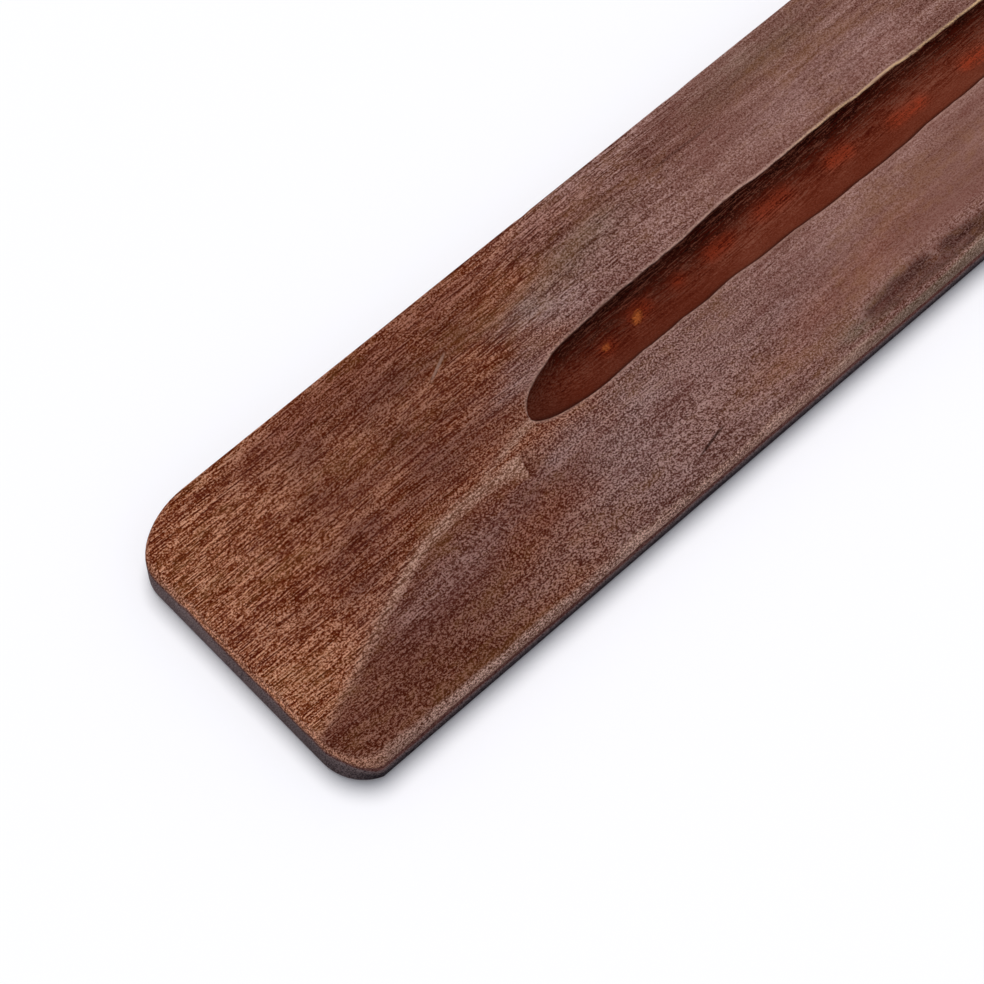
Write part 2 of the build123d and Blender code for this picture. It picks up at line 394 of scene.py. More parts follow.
def grooveCoats(wood):     # oily red brown, with painted shade and soot under the left rim, a painted shadow line inside the right rim, and ember-red flecks on the floor
    add, along, across, layer = wood.add, wood.along, wood.across, wood.layer
    ember = add("Attribute", attribute_name="ember").outputs["Fac"]
    fleck = add("Math.MULTIPLY_ADD", (layer["grit"], 6.0, 0.9))
    fleck = add("Math.MULTIPLY_ADD", (layer["lines"], 5.0, fleck))
    ember = add("Math.MULTIPLY", (ember, fleck))
    dim = add("Math.MULTIPLY", (wood.inside, 0.62))
    ember = add("MapRange", (ember, 0.1, 1.4, 0.0, dim))
    spark = add("Attribute", attribute_name="spark").outputs["Fac"]
    mottle = add("Math.MULTIPLY_ADD", (layer["grit"], 3.0, 0.9))
    spark = add("Math.MULTIPLY", (spark, mottle))
    spark = add("MapRange", (spark, 0.2, 0.95, 0.0, wood.inside))
    # painted shade with soot down the left wall, ragged along the fibres
    fibred = add("Math.MULTIPLY_ADD", (layer["lines"], 11.0, across))
    fibred = add("Math.MULTIPLY_ADD", (layer["grit"], 6.0, fibred))
    thin = add("MapRange", (wood.hollow, 0.45, 0.8, 1.0, 0.3))
    thin = add("Math.MULTIPLY", (wood.inside, thin))
    sootAndShade = add("MapRange.SMOOTHSTEP", (fibred, 2.0, 3.6, 0.0, thin))
    # painted shadow line just inside the right rim; the whole groove is also darkened near its tip
    dull = add("MapRange.SMOOTHSTEP", (along, 50.0, 43.0, 0.0, 0.4))
    brimShadow = add("MapRange", (wood.rim, 4.0, 3.3, dull, 0.75))
    brimShadow = add("MapRange", (across, 0.0, -1.0, dull, brimShadow))
    brimShadow = add("Math.MULTIPLY", (brimShadow, wood.inside))

    # its lip is rubbed pale, flaked at the tip and chafed to cream on the left further along
    close = add("MapRange.SMOOTHSTEP", (wood.rim, 2.5, 2.9, 0.0, wood.outside))
    pale = add("MapRange", (wood.uneven, 0.05, 0.5, 0.25, close))
    pale = add("MapRange", (across, -1.0, 1.0, 0.2, pale))
    pale = add("MapRange", (along, 60.0, 90.0, 0.35, pale))
    tipped = add("MapRange", (along, 48.0, 43.0, 0.0, 0.7))
    flaked = add("MapRange", (layer["grit"], -0.02, 0.08, 0.0, tipped))
    pale = add("Math.MAXIMUM", (pale, flaked))
    pale = add("Math.MULTIPLY", (pale, close))
    brow = add("MapRange.SMOOTHSTEP", (wood.rim, 2.68, 2.94, 0.0, wood.outside))
    chafed = add("MapRange.SMOOTHSTEP", (along, 84.0, 96.0, 0.0, brow))
    broken = add("MapRange", (wood.hollow, 0.3, 0.6, 0.35, 1.0))
    chafed = add("Math.MULTIPLY", (chafed, broken))
    chafed = add("MapRange", (across, -1.0, 1.0, 0.0, chafed))
    return [(wood.inside, wood.ramps["groove"]), (ember, stain["ember"]), (spark, stain["spark"]),
            (sootAndShade, stain["sootAndShade"]), (brimShadow, stain["sootAndShade"]), (pale, stain["lip"]), (chafed, stain["cream"])]


def stainedMango(name, shift):
    # mango plank, sanded by hand and wiped with dark stain: open pores hold it, raised fibres rub pale
    material, add = newMaterial(name)
    wood = fibreGrain(add, shift)
    colour = wood.ramps["warm"]
    for coatsOf in (stainCoats, toolMarkCoats, scratchCoats, edgeCoats, grooveCoats):
        for where, coat in coatsOf(wood):
            colour = add("Mix", {0: where, 6: colour, 7: coat}, data_type="RGBA").outputs[2]
    sunk = add("Math.MULTIPLY_ADD", (wood.pores, -0.7, wood.tone))
    bump = add("Bump", {"Strength": 0.8, "Distance": 0.16 * mm, "Height": sunk})
    rough = add("MapRange", (wood.tone, 0.2, 0.8, 0.82, 0.66))
    shader = add("BsdfPrincipled", {"Base Color": colour, "Roughness": rough, "IOR": 1.45,
                                    "Specular IOR Level": 0.04, "Normal": bump})
    add("OutputMaterial", (shader,))
    return material


boardWood = stainedMango("sanded mango plank, dark stain", (0.0, 0.0, 0.0))
noseWood = stainedMango("sanded mango curl, dark stain", (37.0, 11.0, 23.0))
print("wood finish made")


# Wood blanks: flat, closed, ready to be carved and bent

groove = {
    "tip": (42.0, -0.7),        # mm from the tail, mm across
    "end": (200.15, 0.5),
    "runs": ((9.5, 13.0), (11.5, 11.5)),     # lower and upper rim, at the tip and at the end
    "lowerRim": [(42, -2.9), (49, -3.02), (57, -2.9), (60.5, -3.0), (63, -2.92), (66.5, -3.12), (70, -3.0),
                 (75, -3.3), (79, -3.32), (85, -3.68), (89, -3.8), (97, -3.9), (101, -3.8), (105, -3.85),
                 (140, -3.5), (200, -3.2)],
    "upperRim": [(42, 4.1), (55, 4.3), (69, 4.45), (75, 4.75), (83, 4.55), (100, 4.4), (117, 3.8), (140, 4.3),
                 (200, 4.4)],
    "unevenness": (0.06, 0.09),        # of the lower and upper rim, mm
    "depth": 2.8 * mm,
    "runOut": 12.0 * mm,
    "wallSweep": math.radians(71),     # slope of the wall at the rim
    "rows": 26,
}


def grooveRims(along):     # lower and upper rim in mm; before and past the ends they close to a seam
    rims = []
    for seed, name in enumerate(("lowerRim", "upperRim")):
        shake = wobble(along, 3.0, seed) + 0.6 * wobble(along, 1.1, seed + 10)
        rims.append(throughPoints(groove[name], along) + groove["unevenness"][seed] * shake)
    lower, upper = rims
    for (tip, middle), (lowRun, highRun), way in zip((groove["tip"], groove["end"]), groove["runs"], (1, -1)):
        inward = way * (along - tip)
        # the seam opens a little outward
        seam = np.where(inward < 20, 0.05 + 0.3 * np.clip(-inward, 0, 10), -np.inf)
        lowPart = 1 - np.clip(inward / lowRun, 0, 1)
        highPart = 1 - np.clip(inward / highRun, 0, 1)
        lower = middle + (lower - middle) * np.sqrt(1 - lowPart ** 2)
        upper = middle + (upper - middle) * np.sqrt(1 - highPart ** 2)
        lower = np.minimum(lower, middle - seam)
        upper = np.maximum(upper, middle + seam)
    return lower, upper


# stains and rubbed places: reach across in mm, strength, then points in mm along and across
marks = {
    "umber": [
        (5.0, 0.75, [(26, 13.5), (42, 13.5)]), (4.0, 0.7, [(22, 7.5), (42, 6)]),
        (4.5, 0.7, [(18, 0), (30, 1), (40, 3.5)]), (1.8, 0.7, [(14.5, -2.8), (23, -1.8)]),
        (1.6, 0.5, [(15, -10.5), (19, -11)]), (0.8, 0.5, [(56, 14.4), (66, 13.8), (80, 13.3), (99, 13.6)]),
        (1.5, 0.35, [(43, 15.5), (47, 17)]), (2.0, 0.5, [(84, 14.5), (97, 15.5)]),
        (3.0, 0.4, [(128, 12), (150, 13)]), (3.0, 0.45, [(160, -12), (182, -11)]),
        (4.0, 0.5, [(212, 9), (226, 8)]), (5.0, 0.55, [(250, -6), (262, 8)]),
        (3.0, 0.4, [(232, -14), (244, -12)]),
    ],
    "grey": [(2.0, 0.4, [(19, -9), (28, -7.5)]), (2.5, 0.4, [(30, -15), (38, -14)])],
    "ruddy": [
        (1.4, 0.8, [(33, -10.5), (37, -10.3)]), (2.2, 0.6, [(20, 16.5), (45, 17.5)]),
        (2.2, 0.3, [(54, 16.5), (63, 16)]), (2.0, 0.3, [(74, -12.5), (88, -11)]), (2.2, 0.3, [(66, -14.5)]),
        (3.0, 0.4, [(130, -9), (140, -10)]), (3.0, 0.4, [(172, 11), (184, 12)]),
        (3.0, 0.5, [(220, -8), (232, -6)]),
    ],
    "bloom": [
        (3.0, 0.35, [(64, -9), (78, -8)]), (1.8, 0.75, [(50.5, 9.3), (53.5, 7.6)]),
        (2.2, 0.8, [(46, -12), (51.5, -8)]), (1.6, 0.6, [(42, -5.6), (50, -4.8)]),
        (1.6, 0.5, [(46, -16.5), (62, -17.5)]), (1.5, 0.7, [(66.5, -10.2), (71, -9.2)]),
        (1.2, 0.35, [(92, 9.6), (106, 9.6)]), (1.5, 0.5, [(43.5, 3.8), (48, 5)]),
        (0.6, 0.6, [(75, -16.6), (79.5, -16.6)]), (1.5, 0.4, [(88, 9.0), (99, 8.0)]),
        (2.5, 0.45, [(136, 9), (148, 8.5)]), (2.5, 0.45, [(160, -9), (172, -10)]),
        (2.5, 0.5, [(236, 6), (246, 4)]), (3.0, 0.4, [(268, -8), (270, 8)]),
    ],
    "olive": [
        (0.9, 0.7, [(75.5, -17.0), (80, -17.9)]), (0.8, 0.9, [(81, -18.4), (99, -18.8)]),
        (0.4, 0.6, [(79, -15.9), (84, -15.4)]), (2.0, 0.3, [(52, 10), (64, 12)]),
        (2.5, 0.3, [(88, 16), (98, 16)]),
    ],
    "dusky": [
        (4.5, 0.9, [(24, -9), (36, -8)]), (3.0, 0.5, [(28, -15), (37, -14)]),
        (4.0, 0.35, [(78, -11), (96, -12)]),
    ],
    "rubbed": [(0.45, 0.8, [(34, -2.3), (41.4, -0.9)]), (0.8, 0.6, [(33, -3.5), (37, -4.0)])],
    "knot": [
        (0.8, 1.0, [(79.8, -16.7), (83.5, -16.2), (86.5, -16.0)]), (0.7, 0.9, [(91.5, -16.2), (97, -16.8)]),
        (0.6, 0.6, [(82, -17.5), (90, -17.5), (99, -18.0)]),
    ],
    "spark": [(0.45, 0.9, [(55.3, 1.3)]), (0.5, 1.05, [(60.2, 1.5), (60.8, 1.9)])],
    "ember": [
        (0.9, 0.9, [(55.4, 1.2)]), (1.0, 1.2, [(60.6, 2.2), (61.6, 2.2)]), (0.9, 0.9, [(67, 2.0)]),
        (1.0, 1.0, [(72.4, 2.0), (74.6, 2.0)]), (1.1, 0.85, [(80.2, 1.9), (83.6, 1.9)]),
        (1.0, 0.9, [(91, 1.3), (93, 1.1)]), (1.0, 0.8, [(100.2, 0.1), (104, -0.1)]),
        (1.0, 1.0, [(112, -0.1), (114, -0.2)]), (0.9, 0.9, [(124, 0.6)]), (0.8, 0.8, [(137, 1.1)]),
        (1.0, 0.9, [(150, 0.2), (152, 0.2)]), (0.8, 0.8, [(166, 0.9)]), (0.9, 0.8, [(181, 0.5)]),
    ],
}
stretch = {"ember": 1.4, "spark": 1.2}     # how much further these reach along the fibres than across
fibreStretch = 2.5                         # and the others


def strokeFade(points, reach, along, across, longer=fibreStretch):     # 1 on it, fading to 0
    best = np.full(along.shape, np.inf)
    for (x0, y0), (x1, y1) in zip(points, points[1:] or points):
        dx, dy = (x1 - x0) / longer, y1 - y0
        px, py = (along - x0) / longer, across - y0
        t = np.clip((px * dx + py * dy) / max(dx * dx + dy * dy, 1e-9), 0, 1)
        best = np.minimum(best, np.hypot(px - t * dx, py - t * dy))
    return np.exp(-(best / reach) ** 2)


def paint(mesh, name, value, elsewhere=0.0):     # a value for each of the mesh's first points, the top face
    whole = np.full(len(mesh.vertices), elsewhere, np.float32)
    whole[:value.size] = value.ravel()
    mesh.attributes.new(name, "FLOAT", "POINT").data.foreach_set("value", whole)


def paintMarks(mesh, along, across):
    paint(mesh, "skin", np.ones(along.shape))
    for kind, strokes in marks.items():
        value = np.zeros(along.shape)
        for reach, strength, points in strokes:
            fade = strokeFade(points, reach, along, across, stretch.get(kind, fibreStretch))
            value = np.maximum(value, strength * fade)
        paint(mesh, kind, value)


ease = {                     # how the rim is eased, alike on board and nose so that they meet
    "top": 1.2 * mm,
    "foot": 0.4 * mm,
    "share": {"cornerLeft": 0.25, "cornerRight": 1.0},     # the left rim is steeper
    "steps": (6, 6, 4),      # rings round the top, down the flank and round the foot
}
board = {
    "cornerLeft": (9.0 * mm, 6.1 * mm, 1.0),     # along, across, bulge: the left corner is cut flatter
    "cornerRight": (5.5 * mm, 5.5 * mm, 1.06),   # a bulge over 1 meets the long side in a kink
    "turns": 14,
    "settle": 15.0 * mm,                     # columns run straight across from here
    "cells": (0.5 * mm, 0.8 * mm),           # column spacing on the first and the second half
    "half": 125.0 * mm,
    "tipCells": (1.0 * mm, 0.25 * mm),       # stretch before the groove's tip and its spacing
    "crowd": (4.0 * mm, 16),                 # stretch inside the groove's ends and its columns
    "shearFrom": 170.0 * mm,                 # columns lean toward the scarf from here
    "landRows": 28,
    "landCrowding": 1.35,
    # chips out of the rim: mm along, half length, depth
    "chips": {
        "cornerRight": [(41.0, 0.9, 0.3), (44.6, 1.1, 0.35), (47.2, 0.7, 0.25), (7.0, 0.6, 0.25),
                        (12.6, 0.8, 0.15), (26.0, 1.5, 0.15), (61.0, 2.0, 0.15), (97.0, 1.2, 0.25),
                        (133.0, 1.0, 0.3), (171.0, 1.6, 0.25)],
        "cornerLeft": [(59.0, 0.8, 0.07), (83.0, 1.5, 0.07), (121.0, 1.0, 0.25), (156.0, 1.4, 0.2)],
    },
}
wear = {"ridge": 0.06, "scoop": 0.22, "knot": 0.22, "chafe": 0.2}     # relief of the top face, mm
nose = {
    "cornerLeft": (6.0 * mm, 6.0 * mm, 1.0),
    "cornerRight": (6.0 * mm, 6.0 * mm, 1.0),
    "turns": 10,
    "settle": 13.0 * mm,
    "cell": 0.6 * mm,
    "rows": 60,
    "chips": {"cornerRight": [(17.0, 0.8, 0.25), (9.0, 0.7, 0.2)], "cornerLeft": [(26.0, 1.0, 0.2)]},
    "curlRadius": 26.0 * mm,
    "curlAngle": math.radians(60),
    "tipLength": 14.0 * mm,
}
underRadius = nose["curlRadius"] + thick
neutralRadius = underRadius - thick / 2
curlSpan = underRadius * math.sin(nose["curlAngle"])
curlFootX = noseHigh.x - curlSpan - nose["tipLength"] * math.cos(nose["curlAngle"])
flatEndX = curlFootX + neutralRadius * nose["curlAngle"] + nose["tipLength"]     # the nose before it was bent


def scarfX(height):     # where the scarf is at a height
    return scarfTopX + (scarfFootX - scarfTopX) * (1 - height / thick)


def levels():     # inset, height and share of the rim's chips of each ring, from the top face down
    top, foot = ease["top"], ease["foot"]
    topSteps, flankSteps, footSteps = ease["steps"]
    rings = []
    for a in np.radians(np.linspace(0, 90, topSteps)):
        rings.append((top * (1 - math.sin(a)), thick - top * (1 - math.cos(a)), math.cos(a) ** 0.5))
    rings += [(0.0, h, 0.0) for h in np.linspace(thick - top, foot, flankSteps)[1:-1]]
    for a in np.radians(np.linspace(0, 90, footSteps)):
        rings.append((foot * (1 - math.cos(a)), foot * (1 - math.sin(a)), 0.0))
    return rings


settleColumns = 8     # from the corner to where the columns run straight across


# distance of each column from the end face and its half width
def edgeLine(piece, side, stations, inset, chipShare, shearFrom, end):
    reach, depth, bulge = piece[side]
    bend = np.radians(np.linspace(0, 90, piece["turns"] + 1))
    settle = np.linspace(0, 1, settleColumns + 1)[1:] * (piece["settle"] - reach) + reach
    stretched = shearFrom + (stations - shearFrom) * (end - shearFrom) / (stations[-1] - shearFrom)
    straight = np.where(stations > shearFrom, stretched, stations)
    distance = np.concatenate([reach - (reach - inset) * np.cos(bend), settle, straight])
    inset = inset * ease["share"][side]
    half = np.full(len(distance), halfWidth - inset)
    rounded = halfWidth - depth + (depth - inset) * bulge * np.sin(bend)
    half[:len(bend)] = np.minimum(rounded, halfWidth - inset)
    for place, halfLength, deep in piece["chips"][side]:
        half -= chipShare * deep * mm * np.exp(-((distance / mm - place) / halfLength) ** 2)
    return distance, half


def boardRows(along, low, high):     # rows crowd at the groove's rims and follow them
    lower, upper = (rimLine[:, None] * mm for rimLine in grooveRims(along / mm))
    land = np.linspace(0, 1, board["landRows"] + 1) ** board["landCrowding"]
    sweep = np.linspace(-1, 1, groove["rows"] + 1)[1:-1] * groove["wallSweep"]
    part = np.sin(sweep) / math.sin(groove["wallSweep"])
    right = lower + (low[:, None] - lower) * land[::-1]
    middle = (lower + upper) / 2 + (upper - lower) / 2 * part
    left = upper + (high[:, None] - upper) * land
    return np.hstack([right, middle, left])


def noseRows(along, low, high):
    return low[:, None] + (high - low)[:, None] * np.linspace(0, 1, nose["rows"] + 1)


# a grid's distances from the end face and places across
def blankGrid(piece, rowsAcross, stations, shearFrom, end, inset, chipShare):
    uRight, halfRight = edgeLine(piece, "cornerRight", stations, inset, chipShare, shearFrom, end)
    uLeft, halfLeft = edgeLine(piece, "cornerLeft", stations, inset, chipShare, shearFrom, end)
    y = rowsAcross((uRight + uLeft) / 2, -halfRight, halfLeft)
    t = (y + halfRight[:, None]) / (halfLeft + halfRight)[:, None]
    return uRight[:, None] + (uLeft - uRight)[:, None] * t, y


def meshFrom(name, points, faces):
    mesh = bpy.data.meshes.new(name)
    mesh.from_pydata(points, [], faces)
    mesh.validate()
    return mesh


def closedMesh(name, grids):     # full grids on the top face and underside, their borders in between
    columns, rows = grids[0].shape[:2]
    number = np.arange(columns * rows).reshape(columns, rows)
    border = np.concatenate([number[:-1, 0], number[-1, :-1], number[:0:-1, -1], number[0, :0:-1]])
    points = [grids[0].reshape(-1, 3)]
    rings = [border]
    count = columns * rows
    for grid in grids[1:-1]:
        points.append(grid.reshape(-1, 3)[border])
        rings.append(np.arange(len(border)) + count)
        count += len(border)
    points.append(grids[-1].reshape(-1, 3))
    rings.append(border + count)
    top = np.stack([number[:-1, :-1], number[1:, :-1], number[1:, 1:], number[:-1, 1:]], -1).reshape(-1, 4)
    faces = [top, top[:, ::-1] + count]
    for upper, lower in zip(rings, rings[1:]):
        faces.append(np.stack([upper, lower, np.roll(lower, -1), np.roll(upper, -1)], -1))
    return meshFrom(name, np.vstack(points).tolist(), np.vstack(faces).tolist())


def stationsFrom(start, stop, step):
    return np.linspace(start, stop, max(int(round((stop - start) / step)), 1) + 1)[1:]


def boardRelief(along, across, offRim):     # mm up or down on the top face
    beyond = throughPoints(scar, along) - across      # right of the tool mark
    scooped = smoothStep(-0.4, 0.6, beyond) * np.exp(-np.clip(beyond, 0, None) / 3.5)
    scooped = scooped * smoothStep(42, 34, along)
    ridge = np.exp(-((beyond + 0.3) / 0.6) ** 2) * smoothStep(8, 18, along) * smoothStep(40, 36, along)
    relief = wear["ridge"] * ridge - wear["scoop"] * scooped
    for reach, strength, points in marks["knot"]:
        relief = np.minimum(relief, -wear["knot"] * strength * strokeFade(points, reach, along, across))
    chafed = smoothStep(88, 98, along) * (across > 0) * (0.6 + 0.4 * wobble(along, 1.6, 21))
    return relief - wear["chafe"] * chafed * np.exp(-np.clip(offRim, 0, None) / 0.3) * (offRim > -1e-6)


def boardBlank():
    tip, farTip, last = groove["tip"][0] * mm, groove["end"][0] * mm, scarfTopX - tailX
    fineCell, coarseCell = board["cells"]
    before, tipCell = board["tipCells"]
    crowdReach, crowdCount = board["crowd"]
    crowd = crowdReach * np.linspace(0, 1, crowdCount + 1) ** 2     # fine columns round the groove's ends
    stations = np.concatenate([
        stationsFrom(board["settle"], tip - before, fineCell),
        stationsFrom(tip - before, tip, tipCell),
        tip + crowd[1:],
        stationsFrom(tip + crowd[-1], board["half"], fineCell),
        stationsFrom(board["half"], farTip - crowd[-1], coarseCell),
        farTip - crowd[-2::-1],
        stationsFrom(farTip, last, coarseCell),
    ])
    grids = []
    for inset, height, chipShare in levels():
        end = scarfX(height) - tailX
        u, y = blankGrid(board, boardRows, stations, board["shearFrom"], end, inset, chipShare)
        grids.append(np.stack([tailX + u, y, np.full(u.shape, height)], -1))
    mesh = closedMesh("ashBoard", grids)
    # place across the groove, how near its rim a point is, marks and relief
    along, across = (grids[0][..., 0] - tailX) / mm, grids[0][..., 1] / mm
    column = along.mean(1)
    lower, upper = (rimLine[:, None] for rimLine in grooveRims(column))
    off = np.maximum(lower - across, across - upper)
    part = (across - (lower + upper) / 2) / ((upper - lower) / 2)
    paint(mesh, "across", np.where(off > 1e-6, np.sign(part) * (1 + off), part), elsewhere=9.0)
    # past the groove's ends the rim is a distance all round
    gap = np.maximum(groove["tip"][0] - column, column - groove["end"][0])[:, None]
    off = np.where(gap > 0, np.hypot(np.maximum(off, 0), gap), off)
    paint(mesh, "rim", np.clip(3 - off, 0, None))
    paint(mesh, "relief", boardRelief(along, across, off) * mm)
    paintMarks(mesh, along, across)
    return mesh


def noseBlank():
    whole = flatEndX - scarfTopX
    foot = flatEndX - curlFootX
    stations = np.concatenate([stationsFrom(nose["settle"], foot, nose["cell"]),
                               stationsFrom(foot, whole, nose["cell"])])
    grids = []
    for inset, height, chipShare in levels():
        u, y = blankGrid(nose, noseRows, stations, foot, flatEndX - scarfX(height), inset, chipShare)
        grids.append(np.stack([flatEndX - u, y, np.full(u.shape, height)], -1)[::-1])
    mesh = closedMesh("curledNose", grids)
    paintMarks(mesh, (grids[0][..., 0] - tailX) / mm, grids[0][..., 1] / mm)
    return mesh


# Geometry Nodes: the wheel-cut groove, the unevenness of hand sanding, and the bend

sanding = {"offScarf": (20 * mm, 26 * mm), "offFoot": (0.2 * mm, 1.2 * mm)}     # where its waves come in


def workedWood():
    tree = bpy.data.node_groups.new("workedWood", "GeometryNodeTree")
    add = partial(addNode, tree)
    names = {}
    sizes = ("Groove Depth", "Groove Start", "Groove End", "Run Out", "Wall Sweep", "Lip Wear", "Chatter",
             "Chatter Length", "Hand Wave", "Wave Length", "Scarf", "Curl Foot", "Under Radius",
             "Neutral Radius", "Curl Angle", "Seed")
    others = {"Wood Blank": "Geometry", "Wood": "Material"}
    for name in ("Wood Blank", *sizes, "Wood"):
        kind = "NodeSocket" + others.get(name, "Float")
        names[name] = tree.interface.new_socket(name, in_out="INPUT", socket_type=kind).identifier
    tree.interface.new_socket("Worked", in_out="OUTPUT", socket_type="NodeSocketGeometry")
    entry = add("NodeGroupInput").outputs

    # depth along the groove: the wheel drops in and lifts out
    x, y, z = add("SeparateXYZ", (add("GeometryNodeInputPosition"),)).outputs
    lengthwise = 1.0
    for edge, way in (("Groove Start", 1.0), ("Groove End", -1.0)):
        past = add("Math.SUBTRACT", (x, entry[edge]))
        share = add("Math.DIVIDE", (past, entry["Run Out"]))
        left = add("Math.MULTIPLY_ADD", (share, -way, 1.0))
        left = add("Clamp", (left,))
        square = add("Math.MULTIPLY", (left, left))
        cut = add("Math.SUBTRACT", (1.0, square))
        lengthwise = add("Math.MULTIPLY", (cut, lengthwise))

    # section: an arc that meets the top face at the wall's slope
    across = add("GeometryNodeInputNamedAttribute", {"Name": "across"}, data_type="FLOAT")
    sine = add("Math.SINE", (entry["Wall Sweep"],))
    cosine = add("Math.COSINE", (entry["Wall Sweep"],))
    reach = add("Math.MULTIPLY", (across, sine))
    reach = add("Math.MULTIPLY", (reach, reach))
    chord = add("Math.SUBTRACT", (1.0, reach))
    chord = add("Math.MAXIMUM", (chord, 0.0))
    chord = add("Math.SQRT", (chord,))
    hollow = add("Math.SUBTRACT", (chord, cosine))
    whole = add("Math.SUBTRACT", (1.0, cosine))
    section = add("Math.DIVIDE", (hollow, whole))
    section = add("Math.MAXIMUM", (section, 0.0))

    # chatter of the cutter on the floor
    rate = add("Math.DIVIDE", (1.0, entry["Chatter Length"]))
    noise = add("TexNoise", {"W": entry["Seed"], "Scale": rate, "Detail": 1.0}, noise_dimensions="4D")
    jump = add("Math.SUBTRACT", (noise, 0.5))
    jump = add("Math.MULTIPLY_ADD", (jump, entry["Chatter"], entry["Groove Depth"]))
    carve = add("Math.MULTIPLY", (jump, section))

    # the rim is rubbed down a little, and the top face keeps its dents and ridges
    off = add("Math.ABSOLUTE", (across,))
    off = add("Math.MULTIPLY_ADD", (off, -5.0, 5.0))
    fade = add("Math.EXPONENT", (off,))
    fade = add("Math.MINIMUM", (fade, 1.0))
    carve = add("Math.MULTIPLY_ADD", (fade, entry["Lip Wear"], carve))
    carve = add("Math.MULTIPLY", (carve, lengthwise))
    relief = add("GeometryNodeInputNamedAttribute", {"Name": "relief"}, data_type="FLOAT")
    shift = add("Math.SUBTRACT", (relief, carve))
    carved = add("GeometryNodeSetPosition", {
        "Geometry": entry["Wood Blank"], "Offset": add("CombineXYZ", {"Z": shift})})

    # hand sanding: long shallow waves, none on the scarf or the underside
    rate = add("Math.DIVIDE", (1.0, entry["Wave Length"]))
    wave = add("TexNoise", {"W": entry["Seed"], "Scale": rate, "Detail": 1.0}, noise_dimensions="4D")
    wave = add("Math.SUBTRACT", (wave, 0.5))
    wave = add("Math.MULTIPLY", (wave, entry["Hand Wave"]))
    apart = add("Math.SUBTRACT", (x, entry["Scarf"]))
    apart = add("Math.ABSOLUTE", (apart,))
    clear = add("MapRange.SMOOTHSTEP", (apart, *sanding["offScarf"]))
    free = add("MapRange.SMOOTHSTEP", (z, *sanding["offFoot"], 0.0, clear))
    wave = add("Math.MULTIPLY", (wave, free))
    normal = add("GeometryNodeInputNormal")
    outward = add("VectorMath.SCALE", {0: normal, "Scale": wave})
    sanded = add("GeometryNodeSetPosition", {"Geometry": carved, "Offset": outward})

    # bend: flat up to the foot of the curl, round it, then straight on
    x, y, z = add("SeparateXYZ", (add("GeometryNodeInputPosition"),)).outputs
    past = add("Math.SUBTRACT", (x, entry["Curl Foot"]))
    before = add("Math.MINIMUM", (past, 0.0))
    angle = add("Math.DIVIDE", (past, entry["Neutral Radius"]))
    angle = add("Clamp", (angle, 0.0, entry["Curl Angle"]))
    arc = add("Math.MULTIPLY", (entry["Neutral Radius"], entry["Curl Angle"]))
    beyond = add("Math.SUBTRACT", (past, arc))
    beyond = add("Math.MAXIMUM", (beyond, 0.0))
    radius = add("Math.SUBTRACT", (entry["Under Radius"], z))
    sine = add("Math.SINE", (angle,))
    cosine = add("Math.COSINE", (angle,))
    newX = add("Math.MULTIPLY_ADD", (radius, sine, before))
    newX = add("Math.MULTIPLY_ADD", (beyond, cosine, newX))
    newX = add("Math.ADD", (newX, entry["Curl Foot"]))
    sunk = add("Math.MULTIPLY", (radius, cosine))
    newZ = add("Math.SUBTRACT", (entry["Under Radius"], sunk))
    newZ = add("Math.MULTIPLY_ADD", (beyond, sine, newZ))
    bent = add("GeometryNodeSetPosition", {
        "Geometry": sanded, "Position": add("CombineXYZ", (newX, y, newZ))})

    real = add("GeometryNodeRealizeInstances", (bent,))
    finished = add("GeometryNodeSetMaterial", {"Geometry": real, "Material": entry["Wood"]})
    add("NodeGroupOutput", (finished,))
    return tree, names


woodTree, woodInputs = workedWood()
shared = {
    "Groove Start": tailX + groove["tip"][0] * mm,
    "Groove End": tailX + groove["end"][0] * mm,
    "Run Out": groove["runOut"],
    "Wall Sweep": groove["wallSweep"],
    "Chatter Length": 5.0 * mm,
    "Hand Wave": 0.16 * mm,
    "Wave Length": 14.0 * mm,
    "Scarf": (scarfTopX + scarfFootX) / 2,
    "Curl Foot": curlFootX,
    "Under Radius": underRadius,
    "Neutral Radius": neutralRadius,
}
ownWork = {
    "board": {"Groove Depth": groove["depth"], "Lip Wear": 0.08 * mm, "Chatter": 0.35 * mm,
              "Curl Angle": 0.0, "Seed": 4.0, "Wood": boardWood},
    "nose": {"Groove Depth": 0.0, "Lip Wear": 0.0, "Chatter": 0.0,
             "Curl Angle": nose["curlAngle"], "Seed": 9.0, "Wood": noseWood},
}


def newObject(name, data):
    piece = bpy.data.objects.new(name, data)
    scene.collection.objects.link(piece)
    return piece


def plainMesh(piece):     # the evaluated result as a mesh without modifiers
    mesh = bpy.data.meshes.new_from_object(piece.evaluated_get(bpy.context.evaluated_depsgraph_get()))
    mesh.name = piece.name
    piece.modifiers.clear()
    piece.data = mesh


def workWood(name, blank, own):
    piece = newObject(name, blank)
    tool = piece.modifiers.new("worked", "NODES")
    tool.node_group = woodTree
    for key, value in {**shared, **own}.items():
        tool[woodInputs[key]] = value
    plainMesh(piece)
    return piece


# Turned shapes: pegs, the ferrule and the drills that make room for them

